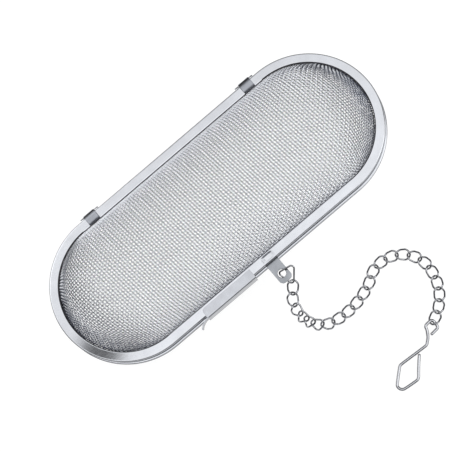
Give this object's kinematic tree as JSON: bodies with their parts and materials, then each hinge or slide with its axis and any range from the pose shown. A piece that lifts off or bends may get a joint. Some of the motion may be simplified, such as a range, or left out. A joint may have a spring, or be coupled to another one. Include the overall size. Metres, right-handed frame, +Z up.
{
  "type": "tea infuser",
  "caption": "Oblong steel mesh tea infuser: two hinged woven half shells in folded rims, a sliding clip, and a curb chain with a bent-wire hook.",
  "frame": {"origin": "middle of the lower basket's flat bottom, on which the closed infuser rests", "axes": "+X along the infuser, the chain on the -Y side, hinges on the +Y side, +Z up through the lid"},
  "size_m": [0.11, 0.0945, 0.0297],
  "materials": {
    "rim_steel": "bright rolled stainless sheet",
    "mesh_steel": "woven stainless wire",
    "hinge_steel": "satin rolled sheet",
    "chain_steel": "bright drawn wire",
    "hook_steel": "bright drawn wire"
  },
  "bodies": {
    "lower_half": {"lower_rim": "rim_steel", "lower_mesh": "mesh_steel", "hinge_leaf_left": "hinge_steel", "hinge_leaf_right": "hinge_steel", "hinge_pin_left": "hinge_steel", "hinge_pin_right": "hinge_steel", "chain_tab": "rim_steel"},
    "lid": {"upper_rim": "rim_steel", "upper_mesh": "mesh_steel", "hinge_strap_left": "hinge_steel", "hinge_strap_right": "hinge_steel"},
    "clip": {"sliding_clip": "rim_steel"},
    "ring": {"triangle_ring": "chain_steel"},
    "link_01": {"chain_link_01": "chain_steel"},
    "link_02": {"chain_link_02": "chain_steel"},
    "link_03": {"chain_link_03": "chain_steel"},
    "link_04": {"chain_link_04": "chain_steel"},
    "link_05": {"chain_link_05": "chain_steel"},
    "link_06": {"chain_link_06": "chain_steel"},
    "link_07": {"chain_link_07": "chain_steel"},
    "link_08": {"chain_link_08": "chain_steel"},
    "link_09": {"chain_link_09": "chain_steel"},
    "link_10": {"chain_link_10": "chain_steel"},
    "link_11": {"chain_link_11": "chain_steel"},
    "link_12": {"chain_link_12": "chain_steel"},
    "link_13": {"chain_link_13": "chain_steel"},
    "link_14": {"chain_link_14": "chain_steel"},
    "link_15": {"chain_link_15": "chain_steel"},
    "link_16": {"chain_link_16": "chain_steel"},
    "link_17": {"chain_link_17": "chain_steel"},
    "link_18": {"chain_link_18": "chain_steel"},
    "link_19": {"chain_link_19": "chain_steel"},
    "link_20": {"chain_link_20": "chain_steel"},
    "link_21": {"chain_link_21": "chain_steel"},
    "link_22": {"chain_link_22": "chain_steel"},
    "link_23": {"chain_link_23": "chain_steel"},
    "hook": {"hook": "hook_steel"}
  },
  "joints": [
    {"name": "lid_hinge", "type": "hinge", "parent": "lower_half", "child": "lid", "pos_m": [0, 0.02215, 0.01485], "axis": [-1, 0, 0], "range_deg": [0, 160]},
    {"name": "clip_slide", "type": "slide", "parent": "lid", "child": "clip", "axis": [1, 0, 0], "range_m": [0, 0.0038]},
    {"name": "ring_swing", "type": "hinge", "parent": "lower_half", "child": "ring", "pos_m": [0.0018, -0.0263, 0.0144], "axis": [1, 0, 0], "range_deg": [-15, 15]},
    {"name": "link_01_turn", "type": "hinge", "parent": "ring", "child": "link_01", "pos_m": [0.00295, -0.0297, 0.01429], "axis": [-0.1273, -0.1414, 0.9817], "range_deg": [-10, 20]},
    {"name": "link_02_lift", "type": "hinge", "parent": "link_01", "child": "link_02", "pos_m": [0.00034, -0.03237, 0.01377], "axis": [0.7933, -0.6088, 0], "range_deg": [-25, 25]},
    {"name": "link_03_turn", "type": "hinge", "parent": "link_02", "child": "link_03", "pos_m": [-0.00147, -0.03501, 0.01267], "axis": [0.2177, 0.4858, -0.8465], "range_deg": [-25, 25]},
    {"name": "link_04_lift", "type": "hinge", "parent": "link_03", "child": "link_04", "pos_m": [-0.00195, -0.0375, 0.01034], "axis": [-0.9968, 0.0797, 0], "range_deg": [-25, 25]},
    {"name": "link_05_turn", "type": "hinge", "parent": "link_04", "child": "link_05", "pos_m": [-0.00168, -0.0393, 0.00747], "axis": [0.2546, -0.7835, 0.5668], "range_deg": [-25, 25]},
    {"name": "link_06_lift", "type": "hinge", "parent": "link_05", "child": "link_06", "pos_m": [-0.00084, -0.04092, 0.00459], "axis": [0.7596, 0.6504, 0], "range_deg": [-25, 25]},
    {"name": "link_07_turn", "type": "hinge", "parent": "link_06", "child": "link_07", "pos_m": [0.00101, -0.04265, 0.00226], "axis": [-0.4617, 0.265, -0.8465], "range_deg": [-25, 25]},
    {"name": "link_08_lift", "type": "hinge", "parent": "link_07", "child": "link_08", "pos_m": [0.004, -0.0438, 0.00106], "axis": [-0.246, -0.9693, 0], "range_deg": [-25, 25]},
    {"name": "link_09_turn", "type": "hinge", "parent": "link_08", "child": "link_09", "pos_m": [0.00739, -0.04418, 0.00093], "axis": [0.048, -0.0029, 0.9988], "range_deg": [-25, 25]},
    {"name": "link_10_lift", "type": "hinge", "parent": "link_09", "child": "link_10", "pos_m": [0.01076, -0.04414, 0.00103], "axis": [-0.0872, 0.9962, 0], "range_deg": [-25, 25]},
    {"name": "link_11_turn", "type": "hinge", "parent": "link_10", "child": "link_11", "pos_m": [0.01408, -0.0436, 0.00103], "axis": [0, 0, -1], "range_deg": [-25, 25]},
    {"name": "link_12_lift", "type": "hinge", "parent": "link_11", "child": "link_12", "pos_m": [0.01728, -0.04257, 0.00103], "axis": [0.3746, -0.9272, 0], "range_deg": [-25, 25]},
    {"name": "link_13_turn", "type": "hinge", "parent": "link_12", "child": "link_13", "pos_m": [0.02018, -0.04086, 0.00103], "axis": [0, 0, 1], "range_deg": [-25, 25]},
    {"name": "link_14_lift", "type": "hinge", "parent": "link_13", "child": "link_14", "pos_m": [0.02325, -0.03945, 0.00103], "axis": [-0.1736, 0.9848, 0], "range_deg": [-25, 25]},
    {"name": "link_15_turn", "type": "hinge", "parent": "link_14", "child": "link_15", "pos_m": [0.02668, -0.03947, 0.00103], "axis": [0, 0, -1], "range_deg": [-25, 25]},
    {"name": "link_16_lift", "type": "hinge", "parent": "link_15", "child": "link_16", "pos_m": [0.02988, -0.04068, 0.00103], "axis": [-0.515, -0.8572, 0], "range_deg": [-25, 25]},
    {"name": "link_17_turn", "type": "hinge", "parent": "link_16", "child": "link_17", "pos_m": [0.03246, -0.04294, 0.00103], "axis": [0, 0, 1], "range_deg": [-25, 25]},
    {"name": "link_18_lift", "type": "hinge", "parent": "link_17", "child": "link_18", "pos_m": [0.03408, -0.04596, 0.00103], "axis": [0.9511, 0.309, 0], "range_deg": [-25, 25]},
    {"name": "link_19_turn", "type": "hinge", "parent": "link_18", "child": "link_19", "pos_m": [0.03449, -0.04934, 0.00103], "axis": [0, 0, -1], "range_deg": [-25, 25]},
    {"name": "link_20_lift", "type": "hinge", "parent": "link_19", "child": "link_20", "pos_m": [0.03387, -0.05269, 0.00103], "axis": [-0.9588, 0.284, 0], "range_deg": [-25, 25]},
    {"name": "link_21_turn", "type": "hinge", "parent": "link_20", "child": "link_21", "pos_m": [0.03252, -0.0558, 0.00103], "axis": [0, 0, 1], "range_deg": [-25, 25]},
    {"name": "link_22_lift", "type": "hinge", "parent": "link_21", "child": "link_22", "pos_m": [0.03046, -0.05848, 0.00103], "axis": [0.7132, -0.7009, 0], "range_deg": [-25, 25]},
    {"name": "link_23_turn", "type": "hinge", "parent": "link_22", "child": "link_23", "pos_m": [0.02781, -0.06059, 0.00103], "axis": [0, 0, -1], "range_deg": [-25, 25]},
    {"name": "hook_turn", "type": "hinge", "parent": "link_23", "child": "hook", "pos_m": [0.02439, -0.0621, 0.00103], "axis": [0, 0, 1], "range_deg": [-30, 30]}
  ]
}
